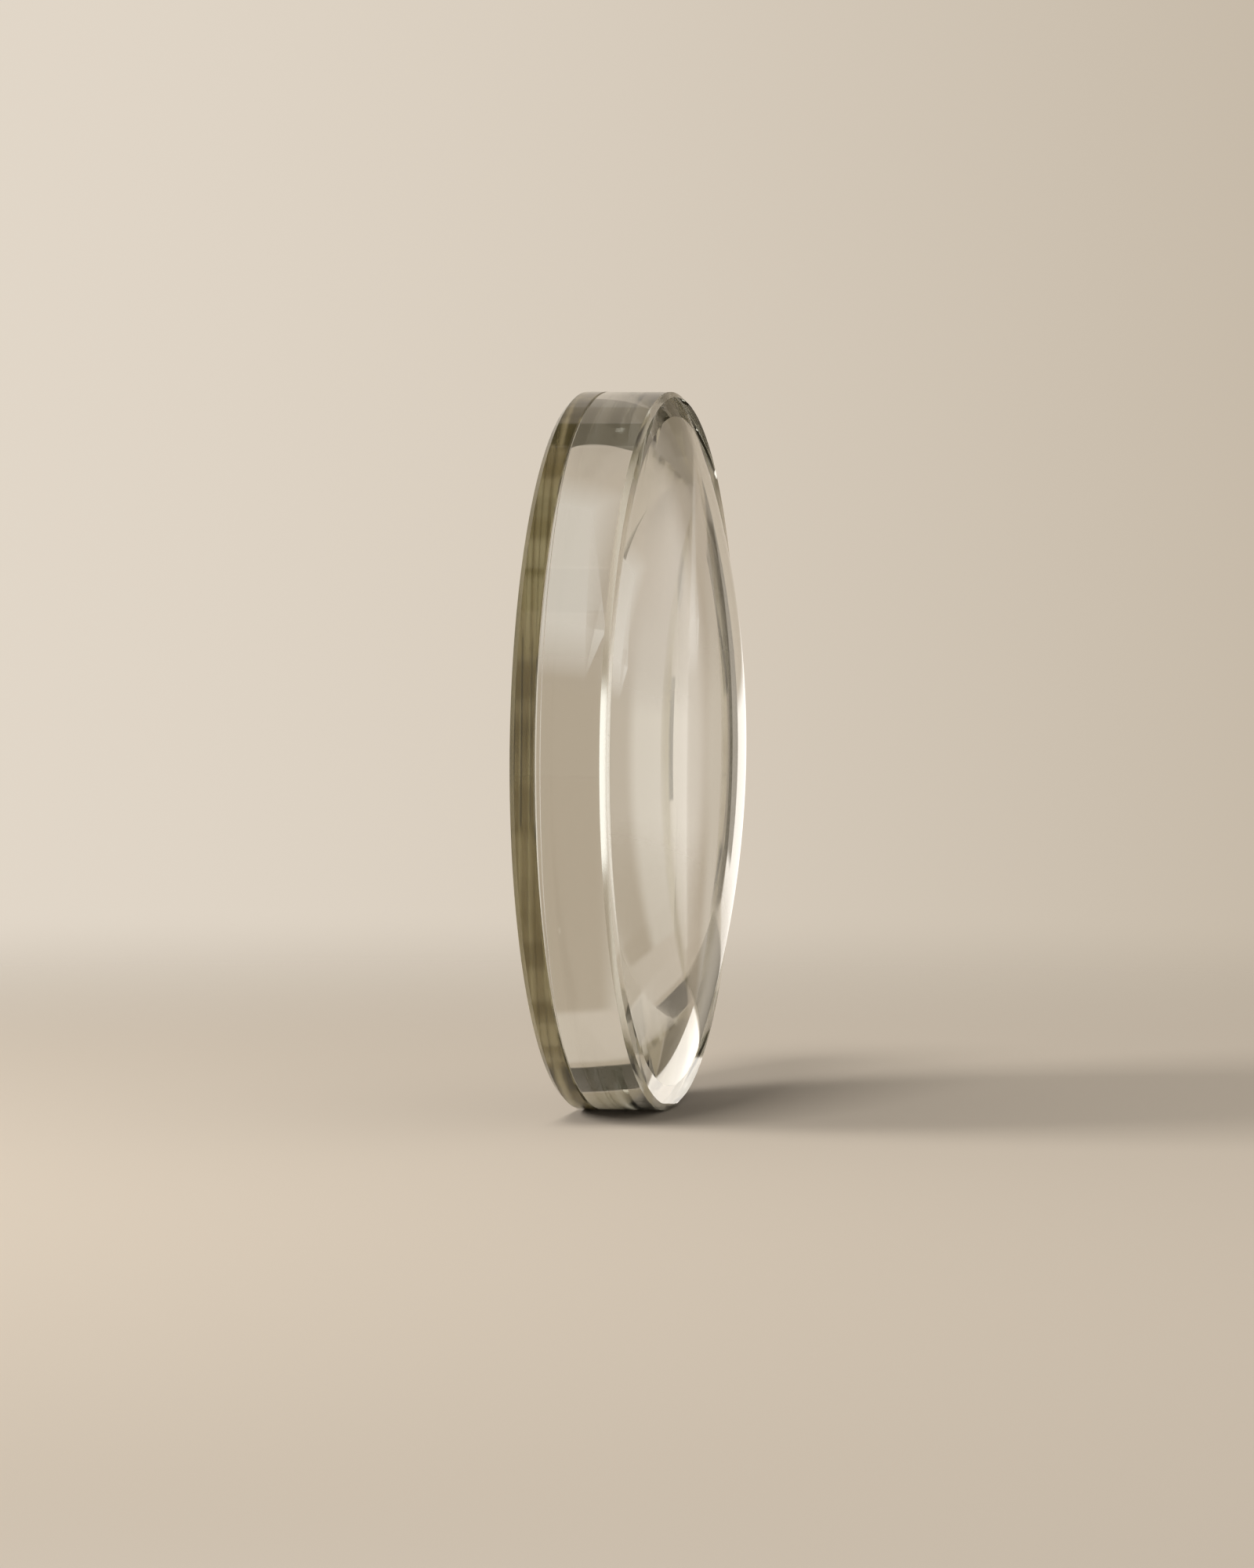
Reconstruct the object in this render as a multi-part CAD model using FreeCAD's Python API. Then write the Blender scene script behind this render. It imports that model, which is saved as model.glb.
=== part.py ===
import FreeCAD, Part
import math
import os

os.makedirs("parts", exist_ok=True)

# A convex lens of two glass elements, cemented face to face.
# All lengths are in millimetres. The optical axis is X, and +X points out of the domed front.
# +Z is up, and the lens stands upright on its rim.
# The origin is on the optical axis, half way along the rim.

# The rim that a lens cell holds
lens_diameter = 75.0
front_edge_thickness = 7.2
back_edge_thickness = 2.7

# Radii of the polished faces; the back face is flat
front_face_radius = 108.0
cemented_face_radius = 470.0

# Flat polished seat round the domed front face
front_seat_width = 2.0

# Legs of the 45 degree bevels ground on the sharp edges
rim_bevel = 0.55
seam_bevel = 0.15


def cap_height(face_radius, edge_radius):
    """Height of a spherical face over the flat circle of its edge."""
    return face_radius - math.sqrt(face_radius ** 2 - edge_radius ** 2)


# The rim, and the circles where the bevels end, the dome meets its seat and the cemented faces begin
rim_radius = lens_diameter / 2
polished_edge_radius = rim_radius - rim_bevel
dome_edge_radius = polished_edge_radius - front_seat_width
seam_edge_radius = rim_radius - seam_bevel

# Planes of the edge circles along the optical axis
rim_thickness = front_edge_thickness + back_edge_thickness
back_x = -rim_thickness / 2
seam_x = back_x + back_edge_thickness
front_x = seam_x + front_edge_thickness

# Heights of the caps, and the points where the spheres cross the optical axis
dome_height = cap_height(front_face_radius, dome_edge_radius)
cemented_height = cap_height(cemented_face_radius, seam_edge_radius)
dome_top_x = front_x + dome_height
cemented_top_x = seam_x - cemented_height


def turned_blank(*places):
    """Solid turned about the optical axis from a half section of straight lines through (x, r) places."""
    corners = [FreeCAD.Vector(x, 0, r) for x, r in places]
    section = Part.Face(Part.makePolygon([*corners, corners[0]]))
    return section.revolve(FreeCAD.Vector(0, 0, 0), FreeCAD.Vector(1, 0, 0), 360)


def ball(face_radius, top_x, side):
    """Sphere that a polished face is part of: it crosses the optical axis at top_x and bulges along side."""
    centre = FreeCAD.Vector(top_x - side * face_radius, 0, 0)
    return Part.makeSphere(face_radius, centre, FreeCAD.Vector(0, 1, 0))


# The cemented face bulges backwards: its sphere bounds the front element and hollows the back one
cemented_ball = ball(cemented_face_radius, cemented_top_x, -1)


def front_element():
    """Clear biconvex element: a blank with bevels and a flat front, the domed cap on it, and a bulge behind."""
    blank = turned_blank(
        (cemented_top_x, 0),
        (cemented_top_x, seam_edge_radius - cemented_height),
        (seam_x + seam_bevel, rim_radius),
        (front_x - rim_bevel, rim_radius),
        (front_x, polished_edge_radius),
        (front_x, 0),
    )
    cap_blank = turned_blank(
        (front_x, 0),
        (front_x, polished_edge_radius),
        (dome_top_x, polished_edge_radius),
        (dome_top_x, 0),
    )
    cap = cap_blank.common(ball(front_face_radius, dome_top_x, 1))
    return blank.common(cemented_ball).fuse(cap).removeSplitter()


def back_element():
    """Thin tinted element: flat behind, with a hollow in front that the front element fills."""
    blank = turned_blank(
        (back_x, 0),
        (back_x, polished_edge_radius),
        (back_x + rim_bevel, rim_radius),
        (seam_x - seam_bevel, rim_radius),
        (seam_x, seam_edge_radius),
        (seam_x, 0),
    )
    return blank.cut(cemented_ball)


elements = {"front_element": front_element(), "back_element": back_element()}
for node, shape in elements.items():
    shape.exportStep(f"parts/{node}.step")
    print(f"{node}: {len(shape.Solids)} solid, volume {shape.Volume / 1000:.2f} cm3, valid {shape.isValid()}")
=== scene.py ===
"""A convex lens of two cemented glass elements, standing on its rim in a plain pale studio."""

import math

import bpy
import numpy as np
from bpy.props import FloatProperty, FloatVectorProperty, IntProperty, PointerProperty
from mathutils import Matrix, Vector


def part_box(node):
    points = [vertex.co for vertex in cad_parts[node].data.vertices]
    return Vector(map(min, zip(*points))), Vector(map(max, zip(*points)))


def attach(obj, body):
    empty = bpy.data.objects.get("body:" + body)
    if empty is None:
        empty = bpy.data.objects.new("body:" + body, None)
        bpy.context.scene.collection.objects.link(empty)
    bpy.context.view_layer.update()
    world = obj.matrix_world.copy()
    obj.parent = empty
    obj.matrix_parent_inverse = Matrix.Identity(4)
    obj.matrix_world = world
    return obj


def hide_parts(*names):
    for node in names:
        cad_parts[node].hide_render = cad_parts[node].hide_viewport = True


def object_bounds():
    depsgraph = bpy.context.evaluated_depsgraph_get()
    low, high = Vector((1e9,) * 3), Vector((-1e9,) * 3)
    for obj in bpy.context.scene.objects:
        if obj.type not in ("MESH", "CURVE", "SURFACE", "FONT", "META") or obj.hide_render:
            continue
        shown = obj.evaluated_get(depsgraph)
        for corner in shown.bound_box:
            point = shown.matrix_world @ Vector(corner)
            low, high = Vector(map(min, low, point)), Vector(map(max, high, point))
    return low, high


bl_info = {
    "name": "Cemented Convex Lens",
    "version": (1, 0, 0),
    "blender": (4, 5, 0),
    "location": "3D View > Sidebar > Lens",
    "description": "Builds a cemented convex lens of polished glass around its solids, with a plain studio",
    "category": "Object",
}

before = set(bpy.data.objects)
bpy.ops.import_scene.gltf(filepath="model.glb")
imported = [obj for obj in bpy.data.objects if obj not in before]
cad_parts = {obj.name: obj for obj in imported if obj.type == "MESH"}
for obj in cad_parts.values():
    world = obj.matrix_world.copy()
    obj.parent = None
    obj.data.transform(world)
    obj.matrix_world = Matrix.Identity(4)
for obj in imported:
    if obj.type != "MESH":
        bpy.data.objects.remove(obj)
CAD_BOX = [list(corner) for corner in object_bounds()]
LOWEST = Vector(CAD_BOX[0])
HIGHEST = Vector(CAD_BOX[1])

# Places that come from the frame: the rim's radius, the flat back, the seam and the dome's top
RIM_RADIUS = HIGHEST.z
BACK_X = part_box("back_element")[0].x
SEAM_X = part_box("back_element")[1].x
DOME_TOP_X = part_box("front_element")[1].x

# The photograph's frame, and the lens's centre and rim radius in it, in pixels
PHOTO_HEIGHT = 2000
PHOTO_WIDTH = 1600
PHOTO_LENS_CENTRE = (801.5, 957.5)
PHOTO_RIM_RADIUS = 457.5
SENSOR_WIDTH_MM = 36

# Rings of points from the axis to the edge of a curved face and of the flat back
CAP_RINGS = 60
FLAT_RINGS = 12

# Finish of a face of the mesh: polished optical face, polished rim, ground bevel
FACE, RIM, BEVEL = 0, 1, 2

# Polishing marks on each rim: noise features per metre along it, and strength of their bump
CLEAR_MARKS = (900, 0.02)
OLIVE_MARKS = (160, 0.03)
MARKS_DEPTH = 0.0001

# Darker bands of painted shade on the olive rim, for dark surroundings seen through it:
# noise features per metre along it, and the noise from none to full
BAND_SCALE = 190
BAND_RANGE = (0.44, 0.58)

# Marks and bands run across the rim: along the optical axis the noise is scaled by this share
STRETCH_ACROSS = 0.04

# Grain of the ground bevels: noise features per metre, strength and depth of its bump
GRAIN_SCALE = 9000
GRAIN_STRENGTH = 0.1
GRAIN_DEPTH = 0.00002

# Share by which a volume's density exceeds its largest loss, so that no colour channel is empty
DENSITY_MARGIN = 1.25

# The floor reaches this far from the lens each way. It is whole round a point in front of the lens,
# and fades out between two distances from that point.
FLOOR_REACH = 2.0
FLOOR_CENTRE_Y = -0.12
FLOOR_FADE = (0.17, 0.42)
PAPER_ROUGHNESS = 0.95

# Azimuths, in degrees, of the shaded part of the backdrop, and the softness of its ends
SHADED_AZIMUTHS = (0, 165)
SHADE_SOFTNESS = 17

# Square soft lamps aimed at the lens: name, place, side and power in watts
LAMPS = (
    ("front_lamp", (-0.14, -0.56, 0.80), 0.30, 3.6),
    ("key_lamp", (-0.33, -0.14, 0.20), 0.20, 1.05),
)
LAMP_COLOUR = (1.0, 0.96, 0.91)

# Zones of the studio round the lens that glass picks up, each over the ones before it: name, azimuth
# range (0 is straight behind the lens, + to the right), elevation range, softness, and colour.
# Angles are in degrees. The first list shows through the glass, and the second one on its surface.
ALL_ROUND = (-180, 180)
ZONES_THROUGH = (
    ("right panel", (26, 150), (-20, 31), 8, (0.62, 0.55, 0.45)),
    ("upper panel", ALL_ROUND, (33, 45), 2, (0.58, 0.50, 0.40)),
    ("dark upper strip", (-5, 70), (48.4, 60), 0.9, (0.035, 0.03, 0.016)),
    ("overhead panel", (-5, 100), (62, 95), 1.5, (0.34, 0.28, 0.18)),
    ("dark side", (105, 175), (34, 80), 4, (0.16, 0.13, 0.08)),
    ("strip behind", (-14.5, -5.5), (-14, 4), 0.8, (0.03, 0.025, 0.015)),
    ("front softbox", (151, 167), (-0.5, 9.5), 1.5, (1.3, 1.24, 1.14)),
)
ZONES_REFLECTED = (
    ("upper panel", ALL_ROUND, (33, 45), 2, (0.58, 0.50, 0.40)),
    ("dark upper strip", ALL_ROUND, (47, 60), 1.5, (0.10, 0.085, 0.045)),
    ("overhead panel", ALL_ROUND, (62, 95), 1.5, (0.34, 0.28, 0.18)),
    ("side softbox", (26, 62), (-25, 3), 8, (1.25, 1.18, 1.08)),
    ("dark flag", (4.5, 10.0), (-5.4, 2.5), 0.5, (0.02, 0.016, 0.01)),
    ("top flag", (9, 13), (-1.2, 2.5), 0.4, (0.06, 0.05, 0.03)),
    ("bright strip", (-12, 4), (-5.6, -2.4), 0.6, (1.3, 1.23, 1.13)),
    ("low bright strip", (-3, 7.3), (-6.4, -5.6), 0.4, (1.3, 1.23, 1.13)),
    ("low dark flag", (8.3, 13), (-7.2, -5.8), 0.5, (0.02, 0.016, 0.01)),
    ("low dark strip", (-9, 8), (-11, -7.3), 0.6, (0.10, 0.085, 0.06)),
)

# Level cards that shape the light in the glass, as painted light and painted shade: name, inner outline
# as (x, y) places from the near left corner round to the far left one, margins at the sides, near and
# far over which the card fades out, height over the floor, colour, and the kind of ray that it shows in
CARDS = (
    # Painted shadow: a dark card that stands in for the lens's own shadow on the floor behind it, seen
    # through the rim
    ("rim_painted_shadow_card", ((-0.0040, 0.0386), (0.0049, 0.0386), (0.0049, 0.0442), (-0.0040, 0.0458)),
     (0.0001, 0.0001, 0.0001), 0.033, (0.14, 0.12, 0.085), "transmission"),
    # Painted light: a glowing patch of lit floor, seen only through the glass
    ("floor_painted_light_card", ((-0.015, 0.098), (0.018, 0.098), (0.048, 0.165), (-0.005, 0.165)),
     (0.008, 0.012, 0.070), 0.0003, (0.66, 0.60, 0.52), "transmission"),
    # Painted highlight: a bright glowing patch on the floor beside the lens, seen only in reflections off
    # the glass
    ("seat_painted_highlight_card", ((0.003, 0.003), (0.009, 0.003), (0.018, 0.058), (0.001, 0.058)),
     (0.0003, 0.0003, 0.003), 0.0003, (1.8, 1.7, 1.55), "glossy"),
    # Painted shade: a dark patch on the floor behind the lens, seen only in reflections off the glass
    ("low_painted_shade_card", ((-0.006, 0.064), (0.030, 0.064), (0.040, 0.150), (-0.010, 0.150)),
     (0.002, 0.003, 0.010), 0.0003, (0.10, 0.085, 0.06), "glossy"),
)

# Sockets of a mix node that is set to colours: amount, under, over, and the result
MIX_INPUTS = (0, 6, 7)
MIX_OUTPUT = 2


class LensSizes(bpy.types.PropertyGroup):
    """Sizes of the lens that its solids don't give by their corners."""

    dome_radius: FloatProperty(
        name="Front face radius", description="Radius of the sphere that the convex front face is part of",
        default=0.108, unit="LENGTH")
    front_seat: FloatProperty(
        name="Front seat", description="Width of the flat seat round the domed front face",
        default=0.002, unit="LENGTH", precision=4)
    cemented_radius: FloatProperty(
        name="Cemented face radius",
        description="Radius of the sphere of the cemented face, which bulges backwards",
        default=0.470, unit="LENGTH")
    rim_bevel: FloatProperty(
        name="Rim bevel", description="Leg of the ground bevels on the outer edges of the rim",
        default=0.00055, unit="LENGTH", precision=5)
    seam_bevel: FloatProperty(
        name="Seam bevel", description="Leg of the bevel of each element at the seam",
        default=0.00015, unit="LENGTH", precision=5)
    cement_film: FloatProperty(
        name="Cement film", description="Thickness of the film between the two elements",
        default=0.00002, unit="LENGTH", precision=6)
    segments: IntProperty(
        name="Segments", description="Faces round the rim", default=640, min=64)


class LensFinish(bpy.types.PropertyGroup):
    """Colours and finish of the glass."""

    clear_tint: FloatVectorProperty(
        name="Clear glass", description="Colour left of white light by the clear glass over the tint depth",
        default=(0.93, 0.935, 0.915), subtype="COLOR", size=3)
    olive_tint: FloatVectorProperty(
        name="Olive glass", description="Colour left of white light by the olive glass over the tint depth",
        default=(0.38, 0.345, 0.20), subtype="COLOR", size=3)
    tint_depth: FloatProperty(
        name="Tint depth", description="Length of glass over which the two colours are measured",
        default=0.075, unit="LENGTH")
    clear_index: FloatProperty(
        name="Clear glass index", description="Refractive index of the front element", default=1.517)
    olive_index: FloatProperty(
        name="Olive glass index", description="Refractive index of the back element", default=1.54)
    # Painted shade: colour of the darker bands laid on the olive rim, which stand in for dark surroundings
    # seen through it
    olive_painted_shade_bands: FloatVectorProperty(
        name="Olive bands", description="Surface colour of the darker bands across the olive glass's rim",
        default=(0.42, 0.38, 0.26), subtype="COLOR", size=3)
    olive_rim_roughness: FloatProperty(
        name="Olive rim roughness", description="Roughness of the olive glass's rim", default=0.07,
        subtype="FACTOR")
    ground_roughness: FloatProperty(
        name="Ground roughness", description="Roughness of the finely ground bevels", default=0.10,
        subtype="FACTOR")


class StudioSettings(bpy.types.PropertyGroup):
    """Camera, light and background."""

    camera_azimuth: FloatProperty(
        name="Camera azimuth", description="Angle of the view from the plane of the lens",
        default=math.radians(11.1), subtype="ANGLE")
    camera_elevation: FloatProperty(
        name="Camera elevation", description="Angle of the view above the floor",
        default=math.radians(3.0), subtype="ANGLE")
    camera_distance: FloatProperty(
        name="Camera distance", description="Distance from the camera to the lens",
        default=1.0, unit="LENGTH")
    lit_wall: FloatVectorProperty(
        name="Lit wall", description="Colour of the background on the left",
        default=(0.77, 0.69, 0.59), subtype="COLOR", size=3)
    shaded_wall: FloatVectorProperty(
        name="Shaded wall", description="Colour of the background on the right",
        default=(0.44, 0.365, 0.27), subtype="COLOR", size=3)
    ambient: FloatVectorProperty(
        name="Ambient light", description="Even light from all sides on the floor",
        default=(0.30, 0.285, 0.26), subtype="COLOR", size=3)
    floor: FloatVectorProperty(
        name="Floor", description="Colour of the floor",
        default=(0.71, 0.635, 0.545), subtype="COLOR", size=3)


def cap_height(face_radius, r):
    """Height of a spherical cap: its radius less the root of (its radius squared less r squared)."""
    return face_radius - np.sqrt(face_radius ** 2 - r ** 2)


def cap_profile(edge_x, side, face_radius, edge_r, rings):
    """Half section of a cap from the axis to its edge circle.

    x is the edge's place plus side times the cap's height over its edge plane.
    """
    r = np.linspace(0, edge_r, rings)
    return edge_x + side * (cap_height(face_radius, edge_r) - cap_height(face_radius, r)), r


def reverse(stretch):
    """The same stretch of a half section from its other end."""
    return stretch[0][::-1], stretch[1][::-1]


def turned_mesh(name, stretches, segments):
    """Surface of revolution about X of a half section given as stretches of (x, r, finish).

    Point (i, j) is (x_i, r_i cos a_j, r_i sin a_j), with a_j running once round. The first and last
    points lie on the axis, where the rings close in a fan. finish is FACE, RIM or BEVEL, and is kept
    as a face attribute. Stretches meet at an edge that stays sharp.
    """
    x = np.concatenate([s[0][:-1] for s in stretches[:-1]] + [stretches[-1][0]])
    r = np.concatenate([s[1][:-1] for s in stretches[:-1]] + [stretches[-1][1]])
    finish = np.concatenate([np.full(len(s[0]) - 1, s[2], float) for s in stretches])
    corners = np.cumsum([len(s[0]) - 1 for s in stretches])[:-1]

    angle = np.arange(segments) * 2 * math.pi / segments
    rings = len(x) - 2
    grid = np.empty((rings, segments, 3))
    grid[..., 0] = x[1:-1, None]
    grid[..., 1] = r[1:-1, None] * np.cos(angle)
    grid[..., 2] = r[1:-1, None] * np.sin(angle)
    poles = [[x[0], 0, 0], [x[-1], 0, 0]]
    points = np.vstack([grid.reshape(-1, 3), poles])

    here = np.arange(segments)
    after = (here + 1) % segments
    start = (np.arange(rings - 1) * segments)[:, None]
    quads = np.stack([start + here, start + after, start + segments + after, start + segments + here], -1)
    first_pole, last_pole = rings * segments, rings * segments + 1
    last_ring = (rings - 1) * segments
    first_fan = np.stack([np.full(segments, first_pole), after, here], -1)
    last_fan = np.stack([np.full(segments, last_pole), last_ring + here, last_ring + after], -1)
    faces = first_fan.tolist() + quads.reshape(-1, 4).tolist() + last_fan.tolist()
    face_finish = np.repeat(finish, segments)

    mesh = bpy.data.meshes.new(name)
    mesh.from_pydata(points.tolist(), [], faces)
    mesh.polygons.foreach_set("use_smooth", np.ones(len(faces), bool))
    mesh.attributes.new("finish", "FLOAT", "FACE").data.foreach_set("value", face_finish)

    edges = np.empty(len(mesh.edges) * 2, int)
    mesh.edges.foreach_get("vertices", edges)
    ring_of = np.where(edges < rings * segments, edges // segments + 1, -1).reshape(-1, 2)
    sharp = (ring_of[:, 0] == ring_of[:, 1]) & np.isin(ring_of[:, 0], corners)
    mesh.attributes.new("sharp_edge", "BOOLEAN", "EDGE").data.foreach_set("value", sharp)
    mesh.update()
    return mesh


def straight(start, end, rings=2):
    """Straight stretch of a half section, evenly spaced from (x, r) start to end."""
    points = np.linspace(start, end, rings)
    return points[:, 0], points[:, 1]


def add_object(name, data):
    """Puts a new object in the scene, at the origin, and gives it."""
    added = bpy.data.objects.new(name, data)
    bpy.context.scene.collection.objects.link(added)
    return added


def add_piece(name, mesh, node, material):
    """Puts a mesh in the scene as the piece that stands for a node of the frame."""
    mesh.materials.append(material)
    piece = add_object(name, mesh)
    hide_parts(node)
    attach(piece, "root")


def new_material(name):
    """Empty node material with its output node."""
    material = bpy.data.materials.new(name)
    material.use_nodes = True
    material.node_tree.nodes.clear()
    output = material.node_tree.nodes.new("ShaderNodeOutputMaterial")
    return material, material.node_tree, output


def feed(tree, socket, value):
    """Links another node's output into a socket, or sets the socket to a plain value."""
    if isinstance(value, bpy.types.NodeSocket):
        tree.links.new(value, socket)
    else:
        socket.default_value = value


def add_node(tree, kind, **inputs):
    """Adds a shader node; each keyword, with spaces as underscores, sets or links one input."""
    node = tree.nodes.new(kind)
    for key, value in inputs.items():
        feed(tree, node.inputs[key.replace("_", " ")], value)
    return node


def math_node(tree, operation, *values):
    """Adds a math node and gives its result."""
    node = tree.nodes.new("ShaderNodeMath")
    node.operation = operation
    for socket, value in zip(node.inputs, values):
        feed(tree, socket, value)
    return node.outputs[0]


def colour_mix(tree, amount, under, over):
    """Lays a colour, or a socket's colour, over another by amount."""
    mix = tree.nodes.new("ShaderNodeMix")
    mix.data_type = "RGBA"
    for place, value in zip(MIX_INPUTS, (amount, under, over)):
        feed(tree, mix.inputs[place], value)
    return mix.outputs[MIX_OUTPUT]


def shader_mix(tree, amount, under, over):
    """Lays one shader over another by amount."""
    mix = tree.nodes.new("ShaderNodeMixShader")
    for socket, source in zip(mix.inputs, (amount, under, over)):
        tree.links.new(source, socket)
    return mix.outputs[0]


def absorption(tint, depth):
    """Colour and density of a volume absorption that leaves tint after depth metres of glass.

    The loss per metre is minus the logarithm of the tint over the depth. The density is the largest
    loss times a margin, and the colour is one less each loss over the density.
    """
    loss = -np.log(np.array(tint)) / depth
    density = float(loss.max() * DENSITY_MARGIN)
    return (*(1 - loss / density), 1.0), density


def glass(name, index, tint, depth, ground_roughness, rim_roughness, rim_marks, bands=None):
    """Polished optical glass that tints light by its thickness, ground fine on its bevels.

    The rim has faint polishing marks that run across it, as noise that is stretched along the
    optical axis. Where a colour for them is given, it also has darker bands of painted shade in its
    colour, which stand in for dark surroundings seen through the rim. The bevels are ground: slightly
    rough, with a fine grain.
    """
    marks_scale, marks_strength = rim_marks
    material, tree, output = new_material(name)
    place = tree.nodes.new("ShaderNodeTexCoord").outputs["Object"]
    finish = tree.nodes.new("ShaderNodeAttribute")
    finish.attribute_name = "finish"
    on_rim = math_node(tree, "COMPARE", finish.outputs["Fac"], RIM, 0.1)
    on_bevel = math_node(tree, "COMPARE", finish.outputs["Fac"], BEVEL, 0.1)

    across = add_node(tree, "ShaderNodeMapping", Vector=place, Scale=(STRETCH_ACROSS, 1, 1)).outputs[0]
    marks = add_node(tree, "ShaderNodeTexNoise", Vector=across, Scale=marks_scale, Detail=2).outputs[0]
    grain = add_node(tree, "ShaderNodeTexNoise", Vector=place, Scale=GRAIN_SCALE, Detail=3).outputs[0]
    rim_height = math_node(tree, "MULTIPLY", on_rim, marks)
    bevel_height = math_node(tree, "MULTIPLY", on_bevel, grain)
    rim_bump = add_node(tree, "ShaderNodeBump", Strength=marks_strength, Distance=MARKS_DEPTH,
                        Height=rim_height)
    bump = add_node(tree, "ShaderNodeBump", Strength=GRAIN_STRENGTH, Distance=GRAIN_DEPTH,
                    Height=bevel_height, Normal=rim_bump.outputs[0])
    rim_part = math_node(tree, "MULTIPLY", on_rim, rim_roughness)
    roughness = math_node(tree, "MULTIPLY_ADD", on_bevel, ground_roughness, rim_part)

    shader = add_node(tree, "ShaderNodeBsdfPrincipled", Base_Color=(1, 1, 1, 1), Transmission_Weight=1.0,
                      IOR=index, Roughness=roughness, Normal=bump.outputs[0])
    # Painted shade: darker bands laid into the olive rim's base colour, standing in for dark surroundings
    # seen through it
    if bands is not None:
        painted_shade_noise = add_node(tree, "ShaderNodeTexNoise", Vector=across, Scale=BAND_SCALE, Detail=2).outputs[0]
        cover = add_node(tree, "ShaderNodeMapRange", Value=painted_shade_noise, From_Min=BAND_RANGE[0],
                         From_Max=BAND_RANGE[1]).outputs[0]
        shade = colour_mix(tree, math_node(tree, "MULTIPLY", on_rim, cover), (1, 1, 1, 1), (*bands, 1))
        tree.links.new(shade, shader.inputs["Base Color"])
    colour, density = absorption(tint, depth)
    volume = add_node(tree, "ShaderNodeVolumeAbsorption", Color=colour, Density=density)
    tree.links.new(shader.outputs[0], output.inputs["Surface"])
    tree.links.new(volume.outputs[0], output.inputs["Volume"])
    return material


class LENS_OT_front_element(bpy.types.Operator):
    """Add the clear front element with its convex face"""

    bl_idname = "lens.front_element"
    bl_label = "Front Element"

    def execute(self, context):
        sizes = context.scene.lens_sizes
        finish = context.scene.lens_finish
        seat_edge_r = RIM_RADIUS - sizes.rim_bevel
        dome_edge_r = seat_edge_r - sizes.front_seat
        front_x = DOME_TOP_X - cap_height(sizes.dome_radius, dome_edge_r)
        seam_x = SEAM_X + sizes.cement_film / 2
        seam_edge_r = RIM_RADIUS - sizes.seam_bevel
        cemented = cap_profile(seam_x, -1, sizes.cemented_radius, seam_edge_r, CAP_RINGS)
        seam_bevel = straight((seam_x, seam_edge_r), (SEAM_X + sizes.seam_bevel, RIM_RADIUS))
        rim = straight((SEAM_X + sizes.seam_bevel, RIM_RADIUS), (front_x - sizes.rim_bevel, RIM_RADIUS))
        front_bevel = straight((front_x - sizes.rim_bevel, RIM_RADIUS), (front_x, seat_edge_r))
        seat = straight((front_x, seat_edge_r), (front_x, dome_edge_r))
        dome = reverse(cap_profile(front_x, 1, sizes.dome_radius, dome_edge_r, CAP_RINGS))
        stretches = [(*cemented, FACE), (*seam_bevel, BEVEL), (*rim, RIM), (*front_bevel, BEVEL),
                     (*seat, FACE), (*dome, FACE)]
        mesh = turned_mesh("front_element_glass", stretches, sizes.segments)
        material = glass("clear_optical_glass", finish.clear_index, finish.clear_tint, finish.tint_depth,
                         finish.ground_roughness, 0.0, CLEAR_MARKS)
        add_piece("front_element_glass", mesh, "front_element", material)
        return {"FINISHED"}


class LENS_OT_back_element(bpy.types.Operator):
    """Add the thin olive element cemented behind the front one"""

    bl_idname = "lens.back_element"
    bl_label = "Back Element"

    def execute(self, context):
        sizes = context.scene.lens_sizes
        finish = context.scene.lens_finish
        seam_x = SEAM_X - sizes.cement_film / 2
        seam_edge_r = RIM_RADIUS - sizes.seam_bevel
        flat_edge_r = RIM_RADIUS - sizes.rim_bevel
        flat_back = straight((BACK_X, 0), (BACK_X, flat_edge_r), FLAT_RINGS)
        back_bevel = straight((BACK_X, flat_edge_r), (BACK_X + sizes.rim_bevel, RIM_RADIUS))
        rim = straight((BACK_X + sizes.rim_bevel, RIM_RADIUS), (SEAM_X - sizes.seam_bevel, RIM_RADIUS))
        seam_bevel = straight((SEAM_X - sizes.seam_bevel, RIM_RADIUS), (seam_x, seam_edge_r))
        cemented = reverse(cap_profile(seam_x, -1, sizes.cemented_radius, seam_edge_r, CAP_RINGS))
        stretches = [(*flat_back, FACE), (*back_bevel, BEVEL), (*rim, RIM), (*seam_bevel, BEVEL),
                     (*cemented, FACE)]
        mesh = turned_mesh("back_element_glass", stretches, sizes.segments)
        material = glass("olive_optical_glass", finish.olive_index, finish.olive_tint, finish.tint_depth,
                         finish.ground_roughness, finish.olive_rim_roughness, OLIVE_MARKS,
                         finish.olive_painted_shade_bands)
        add_piece("back_element_glass", mesh, "back_element", material)
        return {"FINISHED"}


def floor_material(colour):
    """Matt paper that fades out with distance, so that no horizon shows."""
    material, tree, output = new_material("studio_floor")
    place = tree.nodes.new("ShaderNodeTexCoord").outputs["Object"]
    distance = tree.nodes.new("ShaderNodeVectorMath")
    distance.operation = "DISTANCE"
    distance.inputs[1].default_value = (0, FLOOR_CENTRE_Y, LOWEST.z)
    tree.links.new(place, distance.inputs[0])
    fade = add_node(tree, "ShaderNodeMapRange", Value=distance.outputs["Value"], From_Min=FLOOR_FADE[0],
                    From_Max=FLOOR_FADE[1])
    fade.interpolation_type = "SMOOTHSTEP"
    paper = add_node(tree, "ShaderNodeBsdfPrincipled", Base_Color=(*colour, 1), Roughness=PAPER_ROUGHNESS)
    clear = tree.nodes.new("ShaderNodeBsdfTransparent")
    sheet = shader_mix(tree, fade.outputs[0], paper.outputs[0], clear.outputs[0])
    tree.links.new(sheet, output.inputs["Surface"])
    return material


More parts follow.
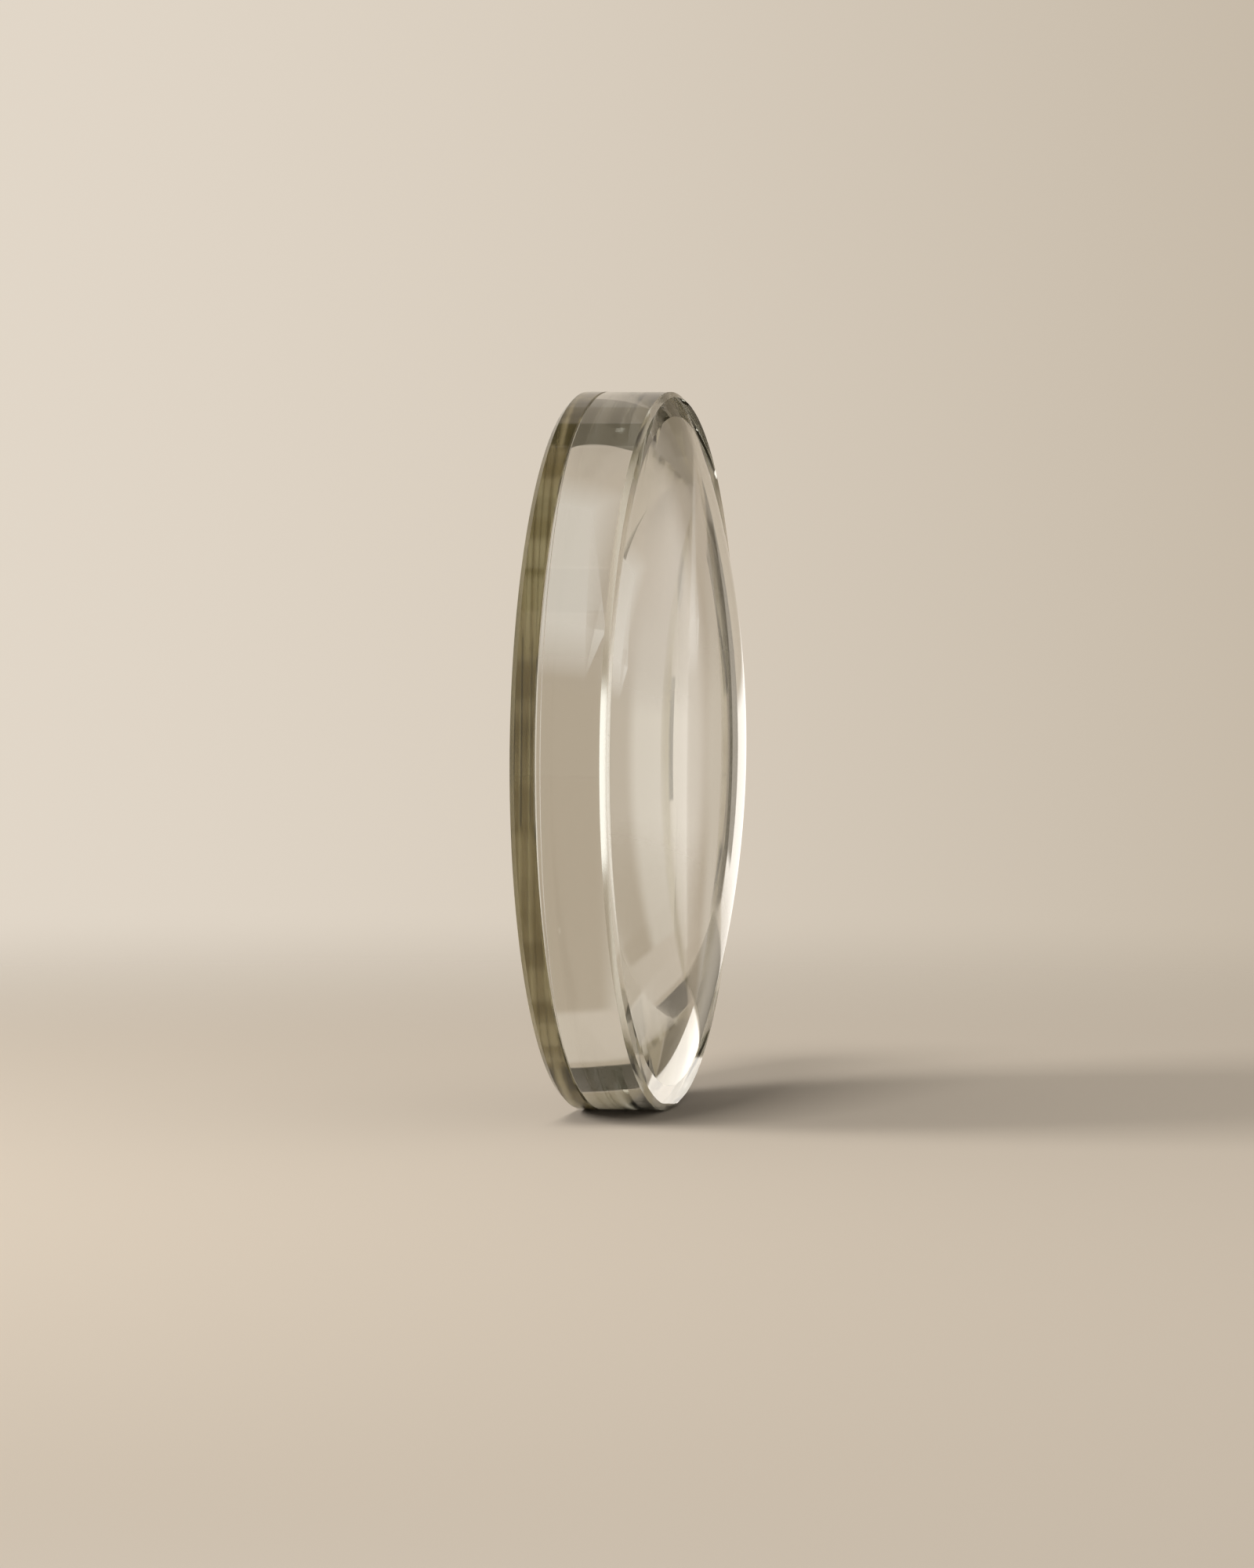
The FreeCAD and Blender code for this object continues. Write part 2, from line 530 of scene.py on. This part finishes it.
def between(tree, value, low, high, soft):
    """1 where value lies between low and high, falling smoothly to 0 over soft on either side."""
    rise = add_node(tree, "ShaderNodeMapRange", Value=value, From_Min=low - soft, From_Max=low)
    fall = add_node(tree, "ShaderNodeMapRange", Value=value, From_Min=high, From_Max=high + soft,
                    To_Min=1.0, To_Max=0.0)
    rise.interpolation_type = fall.interpolation_type = "SMOOTHSTEP"
    return math_node(tree, "MULTIPLY", rise.outputs[0], fall.outputs[0])


def add_zones(tree, zones, surround, azimuth, elevation):
    """Lays zones over a colour, each by how far a direction lies inside its two ranges.

    The node that lays a zone is labelled with its name.
    """
    for name, azimuths, elevations, soft, colour in zones:
        inside = between(tree, elevation, *elevations, soft)
        if azimuths != ALL_ROUND:
            inside = math_node(tree, "MULTIPLY", inside, between(tree, azimuth, *azimuths, soft))
        surround = colour_mix(tree, inside, surround, (*colour, 1))
        surround.node.label = name
    return surround


def studio_world(lit, shaded, ambient):
    """Backdrop that is lit from the left and falls off to the right, for the camera and for glass.

    Glass also picks up the zones. All else gets a dim even light.
    """
    world = bpy.data.worlds.new("studio_world")
    world.use_nodes = True
    tree = world.node_tree
    tree.nodes.clear()
    output = tree.nodes.new("ShaderNodeOutputWorld")
    direction = tree.nodes.new("ShaderNodeTexCoord").outputs["Generated"]
    parts = add_node(tree, "ShaderNodeSeparateXYZ", Vector=direction).outputs
    azimuth = math_node(tree, "DEGREES", math_node(tree, "ARCTAN2", parts["X"], parts["Y"]))
    elevation = math_node(tree, "DEGREES", math_node(tree, "ARCSINE", parts["Z"]))
    fall_off = between(tree, azimuth, *SHADED_AZIMUTHS, SHADE_SOFTNESS)
    backdrop = colour_mix(tree, fall_off, (*lit, 1), (*shaded, 1))
    through = add_zones(tree, ZONES_THROUGH, backdrop, azimuth, elevation)
    reflected = add_zones(tree, ZONES_REFLECTED, backdrop, azimuth, elevation)
    ray = tree.nodes.new("ShaderNodeLightPath").outputs
    colour = colour_mix(tree, ray["Is Camera Ray"], (*ambient, 1), backdrop)
    colour = colour_mix(tree, ray["Is Glossy Ray"], colour, reflected)
    colour = colour_mix(tree, ray["Is Transmission Ray"], colour, through)
    background = add_node(tree, "ShaderNodeBackground", Color=colour, Strength=1.0)
    tree.links.new(background.outputs[0], output.inputs["Surface"])
    return world


def add_card(name, outline, margins, height, colour, ray):
    """Level card that glows on its upper side in one kind of ray, and fades out over its margins.

    The outer outline is the inner one with its corners moved out by the margins. The card casts no
    shadow, and neither the camera nor a matt surface sees it. It paints light into the glass where its
    colour is bright, and paints shade where its colour is dark.
    """
    side, near, far = margins
    inner = np.array(outline)
    outer = inner + [(-side, -near), (side, -near), (side, far), (-side, far)]
    count = len(outline)
    points = np.column_stack([np.vstack([inner, outer]), np.full(2 * count, LOWEST.z + height)])
    border = [(count + i, count + (i + 1) % count, (i + 1) % count, i) for i in range(count)]
    mesh = bpy.data.meshes.new(name)
    mesh.from_pydata(points.tolist(), [], [range(count), *border])
    cover = np.repeat([1.0, 0.0], count)
    mesh.attributes.new("cover", "FLOAT", "POINT").data.foreach_set("value", cover)
    material, tree, output = new_material(name)
    clear = tree.nodes.new("ShaderNodeBsdfTransparent")
    glow = add_node(tree, "ShaderNodeEmission", Color=(*colour, 1))
    edge = tree.nodes.new("ShaderNodeAttribute")
    edge.attribute_name = "cover"
    above = math_node(tree, "SUBTRACT", 1.0, tree.nodes.new("ShaderNodeNewGeometry").outputs["Backfacing"])
    amount = math_node(tree, "MULTIPLY", edge.outputs["Fac"], above)
    faded = shader_mix(tree, amount, clear.outputs[0], glow.outputs[0])
    tree.links.new(faded, output.inputs["Surface"])
    mesh.materials.append(material)
    card = add_object(name, mesh)
    card.visible_camera = card.visible_shadow = card.visible_diffuse = False
    card.visible_glossy = ray == "glossy"
    card.visible_transmission = ray == "transmission"


def add_lamp(name, place, side, power):
    """Soft square lamp at place, turned towards the lens; the glass doesn't show it."""
    data = bpy.data.lights.new(name, "AREA")
    data.shape = "SQUARE"
    data.size = side
    data.energy = power
    data.color = LAMP_COLOUR
    lamp = add_object(name, data)
    lamp.location = place
    lamp.rotation_euler = (-Vector(place)).to_track_quat("-Z", "Y").to_euler()
    lamp.visible_glossy = lamp.visible_transmission = False


def add_camera(studio):
    """Camera at the photograph's viewing angle, framed so that the rim has its size and place there."""
    azimuth, elevation, distance = studio.camera_azimuth, studio.camera_elevation, studio.camera_distance
    towards = Vector((math.sin(azimuth) * math.cos(elevation),
                      -math.cos(azimuth) * math.cos(elevation), math.sin(elevation)))
    data = bpy.data.cameras.new("studio_camera")
    frame_height = PHOTO_HEIGHT / PHOTO_RIM_RADIUS * RIM_RADIUS
    data.sensor_fit = "AUTO"
    data.sensor_width = SENSOR_WIDTH_MM
    data.lens = data.sensor_width * distance / frame_height
    data.shift_x = (PHOTO_WIDTH / 2 - PHOTO_LENS_CENTRE[0]) / PHOTO_HEIGHT
    data.shift_y = (PHOTO_LENS_CENTRE[1] - PHOTO_HEIGHT / 2) / PHOTO_HEIGHT
    camera = add_object("studio_camera", data)
    camera.location = towards * distance
    camera.rotation_euler = (-towards).to_track_quat("-Z", "Y").to_euler()
    bpy.context.scene.camera = camera


class LENS_OT_studio(bpy.types.Operator):
    """Add the floor, the background, the lamps and the camera"""

    bl_idname = "lens.studio"
    bl_label = "Studio"

    def execute(self, context):
        scene = context.scene
        studio = scene.lens_studio
        signs = [(-1, -1), (1, -1), (1, 1), (-1, 1)]
        corners = [(x * FLOOR_REACH, y * FLOOR_REACH, LOWEST.z) for x, y in signs]
        mesh = bpy.data.meshes.new("studio_floor")
        mesh.from_pydata(corners, [], [(0, 1, 2, 3)])
        mesh.materials.append(floor_material(studio.floor))
        add_object("studio_floor", mesh)
        scene.world = studio_world(studio.lit_wall, studio.shaded_wall, studio.ambient)
        for lamp in LAMPS:
            add_lamp(*lamp)
        for card in CARDS:
            add_card(*card)
        add_camera(studio)
        scene.view_settings.view_transform = "Standard"
        scene.cycles.max_bounces = 48
        scene.cycles.caustics_refractive = False
        scene.cycles.glossy_bounces = 32
        scene.cycles.transmission_bounces = 32
        return {"FINISHED"}


class LENS_PT_panel(bpy.types.Panel):
    """Lists the sizes, the finish and the pieces of the lens"""

    bl_label = "Cemented Convex Lens"
    bl_idname = "LENS_PT_panel"
    bl_space_type = "VIEW_3D"
    bl_region_type = "UI"
    bl_category = "Lens"

    def draw(self, context):
        scene = context.scene
        for group in (scene.lens_sizes, scene.lens_finish, scene.lens_studio):
            box = self.layout.box()
            for name in group.bl_rna.properties.keys():
                if name not in ("rna_type", "name"):
                    box.prop(group, name)
        for operator in PIECES:
            self.layout.operator(operator.bl_idname)


GROUPS = {"lens_sizes": LensSizes, "lens_finish": LensFinish, "lens_studio": StudioSettings}
PIECES = (LENS_OT_front_element, LENS_OT_back_element, LENS_OT_studio)
CLASSES = (*GROUPS.values(), *PIECES, LENS_PT_panel)


def register():
    """Adds the classes, and the three groups of settings to each scene."""
    for cls in CLASSES:
        bpy.utils.register_class(cls)
    for name, group in GROUPS.items():
        setattr(bpy.types.Scene, name, PointerProperty(type=group))


def unregister():
    """Takes the settings and the classes away again."""
    for name in GROUPS:
        delattr(bpy.types.Scene, name)
    for cls in reversed(CLASSES):
        bpy.utils.unregister_class(cls)


def main():
    """Builds the pieces in order."""
    register()
    bpy.ops.lens.front_element()
    bpy.ops.lens.back_element()
    bpy.ops.lens.studio()
    bpy.context.view_layer.update()


if __name__ == "__main__":
    main()
